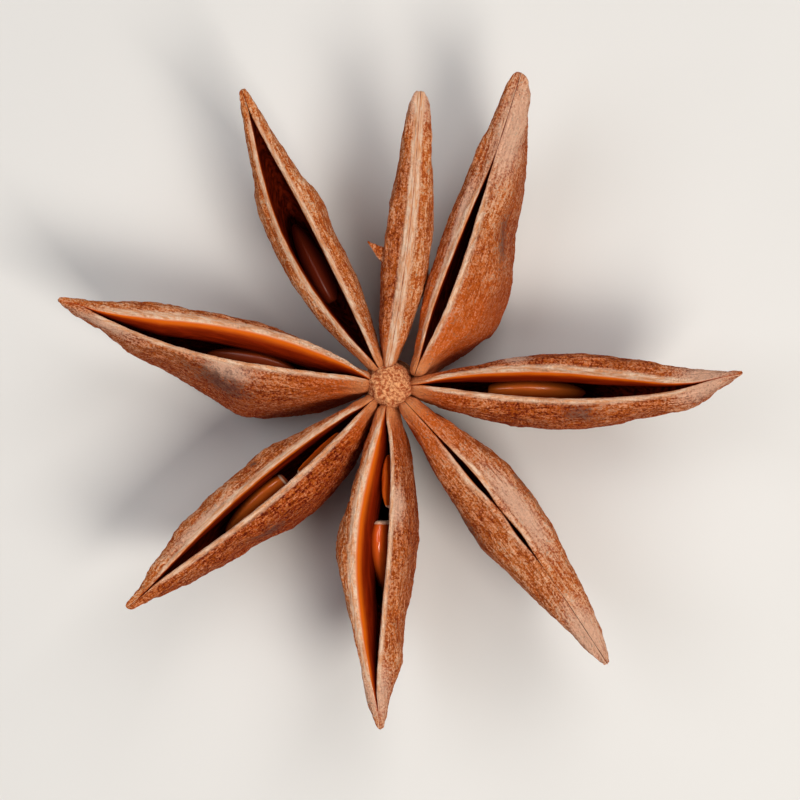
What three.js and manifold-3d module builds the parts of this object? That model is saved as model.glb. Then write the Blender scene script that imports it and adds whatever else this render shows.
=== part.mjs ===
// Star anise pod: a dried woody fruit of eight boat-shaped follicles round a short
// column. Each follicle is a wedge beside the column, deepest before its middle, and
// ends in a small beak. Its upper seam has split into two lips on most of them, and a
// flat glossy seed lies on edge in five of the hollows.
//
// Millimetres, +Z up. The lips look up, and the pod rests on its keels at z = 0.

import * as THREE from 'three';
import { mergeVertices } from 'three/addons/utils/BufferGeometryUtils.js';
import Module from 'manifold-3d';

const wasm = await Module();
wasm.setup();

// ---- Driving dimensions -----------------------------------------------------------

const LIP_HEIGHT = 8.2; // lips above the surface that the keels rest on
const LIP_SAG = 0.3; // the seam dips this much between the column and the beak
const RIM = 0.22; // edge of a lip, from the gap to the start of the band
const SEAM = 0.25; // half the width of the closed seam's ridge
const SLIT = 0.02; // half the gap that is left at the two ends of an opening
const TOP_SHARE = 0.85; // the lips take up no more than this share of the width
const WALL = 0.45; // rind beside a hollow
const KEEL_WALL = 1.25; // rind below a hollow
const LIP_DEPTH = 0.35; // a lip's edge is this deep before the hollow widens under it
const CUT_ABOVE = 1.5; // a hollow's cutter starts this far above the lips
const END_DEPTH = 0.1; // what a hollow still measures in depth at its two ends

const ROOT = 0.05; // a follicle starts here, as a share of its length
const ROOT_WIDTH = 0.24; // its width there, as a share of its widest
const ROOT_DEPTH = 0.72; // its depth there, as a share of its deepest
const TIP_DEPTH = 0.14; // and the same at the beak
const DEEPEST = 0.45; // share of the length at which the keel is lowest
const UPRIGHT = 0.3; // nearer the column than this, the lean fades out
const LEAN_LOSS = 0.6; // share of the lean that is lost again from the deepest place to the beak
const BEAK = 0.55; // the seam starts to rise here
const HOOK = 0.78; // the beak starts to turn aside here
const BULGE_REACH = 0.07; // how far along a swelling of the flank reaches
const UNEVEN = 0.09; // the flanks of a dried follicle are this uneven
const BLUNT = 0.05; // the last part of the beak, which is rounded off
const BLUNT_END = 0.45; // what is left of its width and depth at the very end
const ASIDE_REACH = 0.6; // a displaced inner end is back on its line this far out
const NEAR = 0.75; // how fast a gap opens from the column: low is sudden
const FAR = 1.2; // and how fast it closes towards the beak
const FLAP = { in: 0.52, out: 0.22, top: 0.6, foot: 2.1, thick: 0.5 };

const COLUMN = { top: 1.62, waist: 1.45, foot: 1.75, dome: 0.22, base: 2.1, sides: 20 };
const SCAR = { rim: 1.5, inner: 1.05, hollow: 0.55, lip: 0.25 }; // where the stalk broke off

const STATIONS = 17; // sections along a follicle
const CUT_STATIONS = 10; // sections along a hollow
const CROWDING = 1.25; // above 1, the sections stand closer together towards the beak
const SEED_SIDES = 10;
const SEED_RINGS = 8;
const SEED_TAPER = 0.14; // how much fuller a seed's blunt end is than its pointed one
const SEED_BLUNT = 0.86; // its blunt end is cut off flat at this share of the half length

// Azimuths count anticlockwise from +X, in degrees. A positive lean, bow or hook goes
// the same way: the lips lean that way over the keel, the middle bows that way, and the
// beak turns that way. The drop is how far the keel lies below the lips, and the belly is
// where the follicle is widest. An opening is a stretch of the length with its gap, which
// is widest at its peak. The shift moves the gap to one side, near the column and near the
// beak, and aside moves the follicle's own inner end. A thorn is a flake of rind that
// stands off the flank, and a flap is a shred of lining beside a seed's blunt end.
const FOLLICLES = [
  {
    name: 'east', azimuth: 0, length: 20.9, width: 4.5, belly: 0.5, tip: 0.12,
    drop: 8.32, lean: 9, bow: 0, hook: 0.75, rise: 1.6, aside: 0, shift: [0.4, -0.3],
    openings: [{ from: 0.09, to: 0.905, gap: 1.62, peak: 0.46 }],
    bulges: [{ along: 0.6, side: -1, grow: 0.06 }, { along: 0.87, side: -1, grow: 0.6 }],
    seed: { along: 0.418, fall: 3.4, side: 0.12, pitch: 3, long: 6.3, high: 3.5, thick: 1.7 },
  },
  {
    name: 'north_northeast', azimuth: 67.2, length: 20.1, width: 3.95, belly: 0.42, tip: 0.34,
    drop: 8.32, lean: 21, bow: -0.65, hook: 0, rise: 1.2, aside: -1.15, shift: [0.1, 0],
    openings: [{ from: 0.12, to: 0.75, gap: 0.78, peak: 0.33 }],
    bulges: [
      { along: 0.25, side: -1, grow: 0.46 }, { along: 0.38, side: -1, grow: 0.2 },
      { along: 0.56, side: -1, grow: -0.24 },
    ],
  },
  {
    name: 'north', azimuth: 84, length: 17.6, width: 2.85, belly: 0.42, tip: 0.42,
    drop: 6.4, lean: 0, bow: -0.22, hook: 0, rise: 0.9, aside: 0.3, shift: [0, 0],
    openings: [],
    bulges: [{ along: 0.62, side: 1, grow: 0.05 }],
    thorn: { from: 0.385, to: 0.47, side: 1, reach: 2.15, tip: 0.462, fall: 0.9 },
  },
  {
    name: 'northwest', azimuth: 116.6, length: 19.6, width: 3.8, belly: 0.44, tip: 0.16,
    drop: 8.3, lean: 2, bow: 0.8, hook: 0, rise: 1.3, aside: 0, shift: [0.05, 0.1],
    openings: [{ from: 0.09, to: 0.94, gap: 1.8, peak: 0.52 }],
    bulges: [{ along: 0.62, side: -1, grow: 0.24 }, { along: 0.66, side: 1, grow: 0.16 }],
    seed: { along: 0.44, fall: 4.2, side: 0.2, pitch: 5, long: 5.6, high: 3.3, thick: 1.4 },
  },
  {
    name: 'west', azimuth: 165.5, length: 20.3, width: 4.6, belly: 0.45, tip: 0.12,
    drop: 8.34, lean: -22, bow: 0, hook: 0, rise: 1.5, aside: 0, shift: [-0.75, 0.45],
    openings: [{ from: 0.08, to: 0.92, gap: 2.15, peak: 0.47 }],
    bulges: [
      { along: 0.4, side: 1, grow: 0.15 }, { along: 0.54, side: 1, grow: -0.16 },
      { along: 0.66, side: 1, grow: -0.22 },
    ],
    seed: { along: 0.41, fall: 3.6, side: -0.4, pitch: 4, long: 5.9, high: 3.5, thick: 1.7 },
  },
  {
    name: 'southwest', azimuth: 220.3, length: 20.4, width: 4.0, belly: 0.44, tip: 0.16,
    drop: 8.32, lean: -14, bow: 0, hook: 0, rise: 1.4, aside: 0, shift: [-0.23, -0.2],
    openings: [{ from: 0.1, to: 0.93, gap: 1.35, peak: 0.46 }],
    bulges: [
      { along: 0.3, side: 1, grow: 0.08 }, { along: 0.62, side: 1, grow: -0.2 },
      { along: 0.42, side: -1, grow: 0.24 }, { along: 0.53, side: -1, grow: 0.2 },
      { along: 0.64, side: -1, grow: 0.3 }, { along: 0.75, side: -1, grow: 0.42 },
      { along: 0.86, side: -1, grow: 0.42 },
    ],
    seed: { along: 0.53, fall: 3.3, side: -0.4, pitch: 16, long: 5.5, high: 3.3, thick: 1.5 },
    flap: { from: 0.2, to: 0.38 },
  },
  {
    name: 'south', azimuth: 268.4, length: 20.4, width: 4.6, belly: 0.46, tip: 0.13,
    drop: 8.3, lean: -12, bow: -1.0, hook: 0, rise: 1.5, aside: 0, shift: [0.25, -0.15],
    openings: [{ from: 0.09, to: 0.93, gap: 2.05, peak: 0.46 }],
    bulges: [
      { along: 0.24, side: -1, grow: -0.18 }, { along: 0.34, side: -1, grow: -0.14 },
      { along: 0.46, side: -1, grow: 0.08 }, { along: 0.6, side: -1, grow: -0.12 },
      { along: 0.7, side: -1, grow: -0.2 }, { along: 0.8, side: -1, grow: -0.28 },
      { along: 0.82, side: 1, grow: 0.3 },
    ],
    seed: { along: 0.5, fall: 3.0, side: 0.36, pitch: 32, long: 5.4, high: 3.3, thick: 1.7 },
    flap: { from: 0.2, to: 0.365 },
  },
  {
    name: 'southeast', azimuth: 308, length: 21.0, width: 4.15, belly: 0.47, tip: 0.22,
    drop: 8.34, lean: 0, bow: 0.6, hook: 0, rise: 1.2, aside: 0, shift: [0, 0],
    openings: [
      { from: 0.12, to: 0.46, gap: 0.38, peak: 0.37, near: 2 },
      { from: 0.495, to: 0.63, gap: 0.26, peak: 0.56 },
    ],
    bulges: [{ along: 0.36, side: 1, grow: 0.1 }, { along: 0.55, side: -1, grow: 0.12 }],
  },
];

// Outline of one side of a section: share of the half width, share of the depth.
const FLANK = [
  [0.88, 0.06],
  [1.0, 0.25],
  [0.97, 0.46],
  [0.76, 0.69],
  [0.42, 0.9],
  [0.14, 1.0],
];

// The same for a hollow, as shares of the room inside the rind and of its own depth.
const HOLLOW = [
  [0.86, 0.12],
  [1.0, 0.36],
  [0.84, 0.68],
  [0.3, 1.0],
];

const RIND = new THREE.MeshStandardMaterial({ color: 0xa0522a, roughness: 0.8, metalness: 0 });
const SEED_COAT = new THREE.MeshStandardMaterial({ color: 0xa8542a, roughness: 0.3, metalness: 0 });

// ---- Shape of a follicle ------------------------------------------------------------

const radians = THREE.MathUtils.degToRad;
const clamp01 = (value) => THREE.MathUtils.clamp(value, 0, 1);
const quarterSine = (share) => Math.sin(clamp01(share) * Math.PI / 2);

// What the rounded end of the beak leaves of a width or a depth.
function rounding(along) {
  return BLUNT_END + (1 - BLUNT_END) * quarterSine((1 - along) / BLUNT);
}

function halfWidth(follicle, along) {
  const { belly, tip, width, bulges } = follicle;
  const rising = ROOT_WIDTH + (1 - ROOT_WIDTH) * quarterSine((along - ROOT) / (belly - ROOT)) ** 1.2;
  const falling = tip + (1 - tip) * quarterSine((1 - along) / (1 - belly)) ** 1.25;
  return width / 2 * (along < belly ? rising : falling) * rounding(along);
}

function depth(follicle, along) {
  const deepest = follicle.drop / Math.cos(radians(follicle.lean)) - LIP_SAG;
  const rising = ROOT_DEPTH + (1 - ROOT_DEPTH) * quarterSine((along - ROOT) / (DEEPEST - ROOT));
  const falling = TIP_DEPTH + (1 - TIP_DEPTH) * quarterSine((1 - along) / (1 - DEEPEST)) ** 0.9;
  return deepest * (along < DEEPEST ? rising : falling) * rounding(along);
}

function bulge(follicle, along, side) {
  const near = follicle.bulges.filter((one) => one.side === side);
  const swell = (one) => one.grow * Math.exp(-(((along - one.along) / BULGE_REACH) ** 2));
  return near.reduce((sum, one) => sum + swell(one), 1);
}

// How far a gap has opened here: nothing at its two ends, all of it at its peak.
function gape({ from, to, peak, near = NEAR }, along) {
  if (along < peak) return quarterSine((along - from) / (peak - from)) ** near;
  return quarterSine((to - along) / (to - peak)) ** FAR;
}

// How far the gap reaches to one side of the middle line, which may be less than nothing
// where the whole gap is shifted to the other side.
function mouthAt(follicle, along, sign, least) {
  const opening = follicle.openings.find((one) => along > one.from && along < one.to);
  if (!opening) return least;
  const share = (along - opening.from) / (opening.to - opening.from);
  const half = Math.max(opening.gap / 2 * gape(opening, along), least);
  const shift = THREE.MathUtils.lerp(...follicle.shift, share) * fade(share, 0.5);
  const widest = TOP_SHARE * halfWidth(follicle, along) - RIM;
  return Math.min(half + sign * shift, widest);
}

function leanAt(follicle, along) {
  const lost = LEAN_LOSS * clamp01((along - DEEPEST) / (1 - DEEPEST));
  return radians(follicle.lean) * quarterSine(along / UPRIGHT) * (1 - lost);
}

// A point of the follicle, from its share along the seam, its way to one side and its
// fall below the seam, both in millimetres across the leaning section.
function place(follicle, along, side, fall) {
  const lean = leanAt(follicle, along);
  const sag = LIP_SAG * Math.sin(Math.PI * clamp01(along / BEAK));
  const rise = follicle.rise * clamp01((along - BEAK) / (1 - BEAK)) ** 2;
  const bow = follicle.bow * Math.sin(Math.PI * along)
    + follicle.aside * clamp01(1 - along / ASIDE_REACH) ** 1.5;
  const hook = follicle.hook * clamp01((along - HOOK) / (1 - HOOK)) ** 1.5;
  const point = new THREE.Vector3(
    follicle.length * along,
    bow + hook + side * Math.cos(lean) - fall * Math.sin(lean),
    LIP_HEIGHT - sag + rise - fall * Math.cos(lean) - side * Math.sin(lean),
  );
  return point.applyAxisAngle(new THREE.Vector3(0, 0, 1), radians(follicle.azimuth));
}

function outerSection(follicle, along) {
  const wide = halfWidth(follicle, along);
  const deep = depth(follicle, along);
  const flank = FLANK.map(([across, down]) => [across * wide, down * deep]);
  const crest = (sign) => Math.min(mouthAt(follicle, along, sign, 0) + RIM, wide * TOP_SHARE);
  const lip = (sign) => [Math.max(crest(sign), Math.min(SEAM, wide / 2)), 0];
  const half = (sign) => [lip(sign), ...flank].map(([side, fall], row) => {
    const swollen = side * bulge(follicle, along, sign) + uneven(follicle, along, sign * row);
    return place(follicle, along, sign * swollen, fall);
  });
  return [...half(1), ...half(-1).reverse()];
}

// A dried follicle's unevenness, the same every time. Lips and keel keep their line.
function uneven(follicle, along, row) {
  const onFlank = Math.abs(row) > 1 && Math.abs(row) < FLANK.length;
  const wave = Math.sin(follicle.azimuth + 41 * along + 7 * row) * Math.sin(23 * along + 3 * row);
  return onFlank ? UNEVEN * wave * fade(along, 0.5) : 0;
}

function hollowSection(follicle, opening, share) {
  const along = THREE.MathUtils.lerp(opening.from, opening.to, share);
  const deep = (depth(follicle, along) - KEEL_WALL - LIP_DEPTH) * fade(share, 0.4) + END_DEPTH;
  const half = (sign) => {
    const mouth = mouthAt(follicle, along, sign, SLIT);
    const narrowed = Math.min(bulge(follicle, along, sign), 1);
    const room = Math.max(halfWidth(follicle, along) * narrowed - WALL, mouth);
    const inside = HOLLOW.map(([across, down]) => [
      THREE.MathUtils.lerp(mouth, across * room, fade(share, 0.6)),
      LIP_DEPTH + down * deep,
    ]);
    const sides = [[mouth, -CUT_ABOVE], [mouth, LIP_DEPTH], ...inside];
    return sides.map(([side, fall]) => place(follicle, along, sign * side, fall));
  };
  return [...half(1), ...half(-1).reverse()];
}

// How far a hollow has opened out, from nothing at its two ends to all of it midway.
function fade(share, power) {
  return Math.sin(Math.PI * clamp01(share)) ** power;
}

// ---- Solids ---------------------------------------------------------------------------

// A closed skin over a row of sections that all have the same number of points.
function loft(sections) {
  const count = sections[0].length;
  const positions = [];
  const index = [];
  sections.forEach((section) => section.forEach((point) => positions.push(...point.toArray())));
  for (let row = 0; row < sections.length - 1; row += 1) {
    for (let column = 0; column < count; column += 1) {
      const next = (column + 1) % count;
      const [a, b] = [row * count + column, row * count + next];
      index.push(a, a + count, b, b, a + count, b + count);
    }
  }
  cap(sections[0], 0, false);
  cap(sections.at(-1), (sections.length - 1) * count, true);

  function cap(section, first, outward) {
    const middle = section.reduce((sum, point) => sum.add(point), new THREE.Vector3()).divideScalar(count);
    const centre = positions.length / 3;
    positions.push(...middle.toArray());
    for (let column = 0; column < count; column += 1) {
      const next = (column + 1) % count;
      const edge = outward ? [first + next, first + column] : [first + column, first + next];
      index.push(centre, ...edge);
    }
  }

  const geometry = new THREE.BufferGeometry();
  geometry.setAttribute('position', new THREE.Float32BufferAttribute(positions, 3));
  geometry.setIndex(index);
  return geometry;
}

function solidOf(geometry) {
  geometry.deleteAttribute('normal');
  geometry.deleteAttribute('uv');
  const merged = mergeVertices(geometry);
  return new wasm.Manifold(new wasm.Mesh({
    numProp: 3,
    vertProperties: new Float32Array(merged.attributes.position.array),
    triVerts: new Uint32Array(merged.index.array),
  }));
}

function geometryOf(solid) {
  const mesh = solid.getMesh();
  const geometry = new THREE.BufferGeometry();
  geometry.setAttribute('position', new THREE.BufferAttribute(mesh.vertProperties, 3));
  geometry.setIndex(new THREE.BufferAttribute(mesh.triVerts, 1));
  geometry.computeVertexNormals();
  return geometry;
}

function follicleSolid(follicle) {
  const shares = Array.from({ length: STATIONS }, (_, row) => 1 - (1 - row / (STATIONS - 1)) ** CROWDING);
  const body = loft(shares.map((share) => outerSection(follicle, THREE.MathUtils.lerp(ROOT, 1, share))));
  const cut = (solid, opening) => solid.subtract(hollowSolid(follicle, opening));
  const husk = follicle.openings.reduce(cut, solidOf(body));
  const thorned = follicle.thorn ? husk.add(thornSolid(follicle)) : husk;
  return follicle.flap ? thorned.add(flapSolid(follicle)) : thorned;
}

function hullOf(points) {
  return wasm.Manifold.hull(points.map((point) => point.toArray()));
}

// A flake of rind that stands off the flank, with its foot inside the rind.
function thornSolid(follicle) {
  const { from, to, side, reach, tip, fall } = follicle.thorn;
  const foot = halfWidth(follicle, from) * 0.8;
  const corners = [[from, foot, fall], [to, foot, fall - 0.3], [from, foot, fall + 0.8], [to, foot, fall + 0.5]];
  const point = [[tip, reach, fall - 0.2], [tip - 0.006, reach - 0.1, fall + 0.1]];
  return hullOf([...corners, ...point].map(([along, out, down]) => place(follicle, along, side * out, down)));
}

// A shred of lining that leans against the wall under the lip on the positive side.
function flapSolid(follicle) {
  const { from, to } = follicle.flap;
  const rows = [0, 0.35, 0.7, 1].map((share) => {
    const along = THREE.MathUtils.lerp(from, to, share);
    const lip = mouthAt(follicle, along, 1, SLIT);
    const wall = halfWidth(follicle, along) - WALL / 2;
    const top = FLAP.top + (1 - fade(share * 0.8 + 0.1, 0.5)) * FLAP.thick;
    const edge = [[lip - FLAP.in, top], [lip - FLAP.out, top - 0.08]];
    const foot = [[wall, FLAP.foot], [wall, FLAP.foot - FLAP.thick]];
    return [...edge, ...foot].map(([side, fall]) => place(follicle, along, side, fall));
  });
  const spans = rows.slice(1).map((row, before) => hullOf([...rows[before], ...row]));
  return spans.reduce((sum, span) => sum.add(span));
}

function hollowSolid(follicle, opening) {
  const shares = Array.from({ length: CUT_STATIONS }, (_, row) => row / (CUT_STATIONS - 1));
  return solidOf(loft(shares.map((share) => hollowSection(follicle, opening, share))));
}

function columnSolid() {
  const { top, waist, foot, dome, base, sides } = COLUMN;
  const profile = [
    [0, base + SCAR.hollow],
    [SCAR.inner, base + SCAR.hollow * 0.6],
    [SCAR.rim - SCAR.lip, base],
    [SCAR.rim, base],
    [foot, base + SCAR.lip],
    [waist, LIP_HEIGHT / 2],
    [top, LIP_HEIGHT - dome],
    [top * 0.75, LIP_HEIGHT + dome * 0.6],
    [0, LIP_HEIGHT + dome],
  ];
  const points = profile.map(([across, up]) => new THREE.Vector2(across, up));
  const geometry = new THREE.LatheGeometry(points, sides);
  return solidOf(geometry.rotateX(Math.PI / 2));
}

// Everything under the surface that the pod rests on, to leave small flats on the keels.
function groundSolid() {
  const reach = 60;
  return solidOf(new THREE.BoxGeometry(reach, reach, reach).translate(0, 0, -reach / 2));
}

function podSolid() {
  const body = FOLLICLES.reduce((sum, follicle) => sum.add(follicleSolid(follicle)), columnSolid());
  return body.subtract(groundSolid());
}

// A flat egg lying along +X with its blunt end inward, standing on its narrow edge.
function seedGeometry({ long, high, thick }) {
  const outline = Array.from({ length: SEED_RINGS + 1 }, (_, ring) => {
    const turn = Math.PI * ring / SEED_RINGS;
    const across = Math.sin(turn) * (1 + SEED_TAPER * Math.cos(turn));
    return new THREE.Vector2(ring % SEED_RINGS === 0 ? 0 : across, Math.max(-Math.cos(turn), -SEED_BLUNT));
  });
  const egg = new THREE.LatheGeometry(outline, SEED_SIDES);
  return egg.rotateZ(-Math.PI / 2).scale(long / 2, thick / 2, high / 2);
}

function seedMesh(follicle) {
  const { along, fall, side, pitch } = follicle.seed;
  const centre = place(follicle, along, side, fall);
  const turn = new THREE.Matrix4().makeRotationZ(radians(follicle.azimuth))
    .multiply(new THREE.Matrix4().makeRotationX(-leanAt(follicle, along)))
    .multiply(new THREE.Matrix4().makeRotationY(radians(pitch)));
  const geometry = seedGeometry(follicle.seed).applyMatrix4(turn).translate(...centre.toArray());
  const mesh = new THREE.Mesh(geometryOf(solidOf(geometry)), SEED_COAT);
  mesh.name = `seed_${follicle.name}`;
  return mesh;
}

// ---- The pod ------------------------------------------------------------------------------

const pod = new THREE.Mesh(geometryOf(podSolid()), RIND);
pod.name = 'pod';
pod.geometry.computeBoundingBox();

const group = new THREE.Group();
group.add(pod, ...FOLLICLES.filter((follicle) => follicle.seed).map(seedMesh));

// The origin goes to the middle of the outline, on the surface that the pod rests on.
const middle = pod.geometry.boundingBox.getCenter(new THREE.Vector3());
group.position.set(-middle.x, -middle.y, 0);
group.updateMatrixWorld(true);

export default group;
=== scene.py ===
# %% [markdown]
# # A star anise pod
#
# Star anise is a dried woody fruit. Eight boat-shaped follicles stand round a short
# column like the rays of a star. Each one was a closed pouch with a seam along its
# upper edge. While it dried, most seams tore open, and the two lips that were left
# show the smooth inner wall and, on its narrow edge, a flat glossy seed.
#
# The solids come first. They are loaded as a frame and give every place and size, so
# nothing here is fitted by eye.

# %% Load the solids
import math

import bmesh
import bpy
import numpy as np
from mathutils import Matrix, Vector


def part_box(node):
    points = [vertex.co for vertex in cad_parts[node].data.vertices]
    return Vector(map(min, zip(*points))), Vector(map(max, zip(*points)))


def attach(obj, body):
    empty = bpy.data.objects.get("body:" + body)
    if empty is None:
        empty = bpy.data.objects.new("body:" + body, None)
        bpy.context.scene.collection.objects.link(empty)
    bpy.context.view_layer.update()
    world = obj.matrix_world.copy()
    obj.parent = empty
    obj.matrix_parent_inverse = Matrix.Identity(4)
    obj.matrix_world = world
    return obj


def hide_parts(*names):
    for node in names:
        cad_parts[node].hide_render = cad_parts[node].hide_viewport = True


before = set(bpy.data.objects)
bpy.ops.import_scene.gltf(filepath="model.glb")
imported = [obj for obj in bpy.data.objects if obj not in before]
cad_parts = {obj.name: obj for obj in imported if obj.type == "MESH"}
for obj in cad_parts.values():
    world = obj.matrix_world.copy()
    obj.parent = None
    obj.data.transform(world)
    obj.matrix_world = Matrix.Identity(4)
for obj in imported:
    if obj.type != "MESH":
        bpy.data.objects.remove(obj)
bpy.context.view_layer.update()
print("solids:", sorted(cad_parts))

# %% [markdown]
# ## The fruit in numbers
#
# A few numbers describe each follicle, in millimetres and degrees, and "along" is a share
# of its length. The azimuth counts anticlockwise from +X. A positive lean, bow or hook
# goes the same way round: the lips lean that way over the keel, the middle bows that way,
# and the beak turns that way. The drop is the way from the lips down to the keel. An
# opening has its two ends, its widest gap, where that lies, and how suddenly it opens;
# the shift moves the gap to one side, near the column and near the beak, and aside moves
# the inner end. A bulge has its place along, its side, and how much fuller (or narrower)
# the flank gets. The roll is how far the lining swells into the mouth on the side that
# shows, and how deep down.
#
# The rest is for the finishes. The tone says how pale the rind is on its two sides, ember
# how far from the column it is orange, grain how far its wrinkles turn from the length,
# the lining's light how much painted light lies on the lining under the lip, where less of
# it leaves painted shade, and seam how pale a shut seam looks. Scuffs are dark spots and
# blooms pale ones, each with its place on the straight follicle and its reach. A seed has
# its place, its pitch and its size; its dark and light marks paint shade and light onto its
# coat, and the scar says how well the pale scar of its stalk shows. A flap has its two ends
# and its width.

# %% Driving dimensions
MM = 0.001

LIP_HEIGHT = 8.2
LIP_SAG = 0.3
RIM = 0.22
WALL = 0.45
KEEL_WALL = 1.25
LIP_DEPTH = 0.35
END_DEPTH = 0.1
SLIT = 0.02
SHUT = 0.002
TOP_SHARE = 0.85
FAR = 1.2

ROOT = 0.05
ROOT_WIDTH = 0.24
ROOT_DEPTH = 0.72
TIP_DEPTH = 0.14
DEEPEST = 0.45
UPRIGHT = 0.3
LEAN_LOSS = 0.6
BEAK = 0.55
HOOK = 0.78
ASIDE_REACH = 0.6
BULGE_REACH = 0.07
BLUNT = 0.05
BLUNT_END = 0.45

# What a follicle and a seed have unless their own entry says otherwise.
PLAIN = dict(
    bow=0, hook=0, aside=0, shift=(0, 0), openings=[], grain=0, lining_light=0, seam=0.3,
    scuffs=[], blooms=[],
)
PLAIN_SEED = dict(dark=0, light=0, scar=0)

# %% The eight follicles
FOLLICLES = {
    "east": PLAIN | dict(
        azimuth=0, length=20.9, width=4.5, belly=0.5, tip=0.12, drop=8.32, lean=9,
        hook=0.75, rise=1.6, shift=(0.4, -0.3),
        openings=[(0.09, 0.905, 1.62, 0.46, 0.75)], bulges=[(0.6, -1, 0.06), (0.87, -1, 0.6)],
        roll=(0.6, 1.5), tone=(0.12, 0.15), ember=5, grain=10, lining_light=0.85,
        scuffs=[((11.4, -1.6, -0.6), (1.2, 0.5, 0.7))],
        blooms=[((7.5, 1.7, -0.5), (0.8, 0.4, 0.6)), ((18.6, 0, 0), (1.8, 1.5, 1))],
        seed=PLAIN_SEED | dict(
            along=0.418, fall=3.4, side=0.12, pitch=3, long=6.3, high=3.5, thick=1.7, light=0.35,
        ),
    ),
    "north_northeast": PLAIN | dict(
        azimuth=67.2, length=20.1, width=3.95, belly=0.42, tip=0.34, drop=8.32, lean=21,
        bow=-0.65, rise=1.2, aside=-1.15, shift=(0.1, 0),
        openings=[(0.12, 0.75, 0.78, 0.33, 0.75)],
        bulges=[(0.25, -1, 0.46), (0.38, -1, 0.2), (0.56, -1, -0.24)],
        roll=(0.06, 0.8), tone=(0.4, 0.55), ember=10.5, lining_light=0.1,
        scuffs=[((10.9, -1.9, -2.0), (1.6, 0.8, 0.8))],
        blooms=[((17, -0.6, 0), (3.6, 1.1, 1.4)), ((11, 0.8, 0), (2.5, 0.3, 0.6))],
    ),
    "north": PLAIN | dict(
        azimuth=84, length=17.6, width=2.85, belly=0.42, tip=0.42, drop=6.4, lean=0,
        bow=-0.22, rise=0.9, aside=0.3, bulges=[(0.62, 1, 0.05)],
        roll=(0, 0.5), tone=(0.35, 0.8), ember=4, seam=1,
        blooms=[((9.5, 0, 0), (3.5, 0.3, 0.5)), ((17, 0, -0.3), (1.5, 0.8, 1))],
        thorn=dict(foot=(0.43, 1.0, 1.15), tip=(0.468, 2.55, 0.75)),
    ),
    "northwest": PLAIN | dict(
        azimuth=116.6, length=19.6, width=3.8, belly=0.44, tip=0.16, drop=8.3, lean=2,
        bow=0.8, rise=1.3, shift=(0.05, 0.1),
        openings=[(0.09, 0.94, 1.8, 0.52, 0.75)], bulges=[(0.62, -1, 0.24), (0.66, 1, 0.16)],
        roll=(0.18, 0.9), tone=(0.95, 0.95), ember=4, lining_light=0.1,
        seed=PLAIN_SEED | dict(
            along=0.44, fall=4.2, side=0.2, pitch=5, long=5.6, high=3.3, thick=1.4, dark=0.95,
        ),
    ),
    "west": PLAIN | dict(
        azimuth=165.5, length=20.3, width=4.6, belly=0.45, tip=0.12, drop=8.34, lean=-22,
        rise=1.5, shift=(-0.75, 0.45), openings=[(0.08, 0.92, 2.15, 0.47, 0.75)],
        bulges=[(0.4, 1, 0.15), (0.54, 1, -0.16), (0.66, 1, -0.22)],
        roll=(0.95, 1.7), tone=(0.25, 0.4), ember=6, grain=30, lining_light=0.9,
        scuffs=[((10.0, 2.2, -1.2), (2.1, 1.2, 1.2))],
        blooms=[((9.6, 1.6, -0.2), (1.6, 0.6, 0.6)), ((17.5, 0.8, 0), (2.5, 0.6, 1))],
        seed=PLAIN_SEED | dict(
            along=0.41, fall=3.6, side=-0.4, pitch=4, long=5.9, high=3.5, thick=1.7, dark=0.7,
        ),
    ),
    "southwest": PLAIN | dict(
        azimuth=220.3, length=20.4, width=4.0, belly=0.44, tip=0.16, drop=8.32, lean=-14,
        rise=1.4, shift=(-0.23, -0.2), openings=[(0.1, 0.93, 1.35, 0.46, 0.75)],
        bulges=[
            (0.3, 1, 0.08), (0.62, 1, -0.2), (0.42, -1, 0.24), (0.53, -1, 0.2),
            (0.64, -1, 0.3), (0.75, -1, 0.42), (0.86, -1, 0.42),
        ],
        roll=(0.3, 1.3), tone=(-0.05, 0.6), ember=5, grain=-35, lining_light=0.1,
        scuffs=[((9.3, -1.9, -0.3), (0.25, 0.25, 0.4)), ((11.6, 1.9, -1.4), (1.8, 0.5, 0.8))],
        blooms=[((13.5, -0.9, 0), (3.0, 0.5, 0.6))],
        seed=PLAIN_SEED | dict(
            along=0.53, fall=3.3, side=-0.4, pitch=16, long=5.5, high=3.3, thick=1.5,
            light=0.3, scar=1,
        ),
        flap=(0.2, 0.38, 0.8),
    ),
    "south": PLAIN | dict(
        azimuth=268.4, length=20.4, width=4.6, belly=0.46, tip=0.13, drop=8.3, lean=-12,
        bow=-1.0, rise=1.5, shift=(0.25, -0.15), openings=[(0.09, 0.93, 2.05, 0.46, 0.75)],
        bulges=[
            (0.24, -1, -0.18), (0.34, -1, -0.14), (0.46, -1, 0.08), (0.6, -1, -0.12),
            (0.7, -1, -0.2), (0.8, -1, -0.28), (0.82, 1, 0.3),
        ],
        roll=(1.2, 2.3), tone=(0.4, 0.75), ember=5, grain=20, lining_light=0.5,
        blooms=[((7.2, 1.5, -0.2), (1.3, 0.6, 0.6)), ((18, 0, 0), (2.0, 1.0, 1))],
        seed=PLAIN_SEED | dict(
            along=0.5, fall=3.0, side=0.36, pitch=32, long=5.4, high=3.3, thick=1.7, scar=0.6,
        ),
        flap=(0.2, 0.365, 1.5),
    ),
    "southeast": PLAIN | dict(
        azimuth=308, length=21.0, width=4.15, belly=0.47, tip=0.22, drop=8.34, lean=0,
        bow=0.6, rise=1.2,
        openings=[(0.12, 0.46, 0.38, 0.37, 2), (0.495, 0.63, 0.26, 0.56, 0.75)],
        bulges=[(0.36, 1, 0.1), (0.55, -1, 0.12)], roll=(0.04, 0.8), tone=(0.7, 0.5), ember=7,
        scuffs=[((9.8, -2.0, -2.0), (1.6, 0.6, 1.0)), ((9.6, 1.9, -1.2), (1.4, 0.3, 0.4))],
        blooms=[((10.5, 1.0, 0), (3.5, 0.8, 0.8)), ((19, 0, 0), (2.5, 1.2, 1))],
    ),
}

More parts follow.
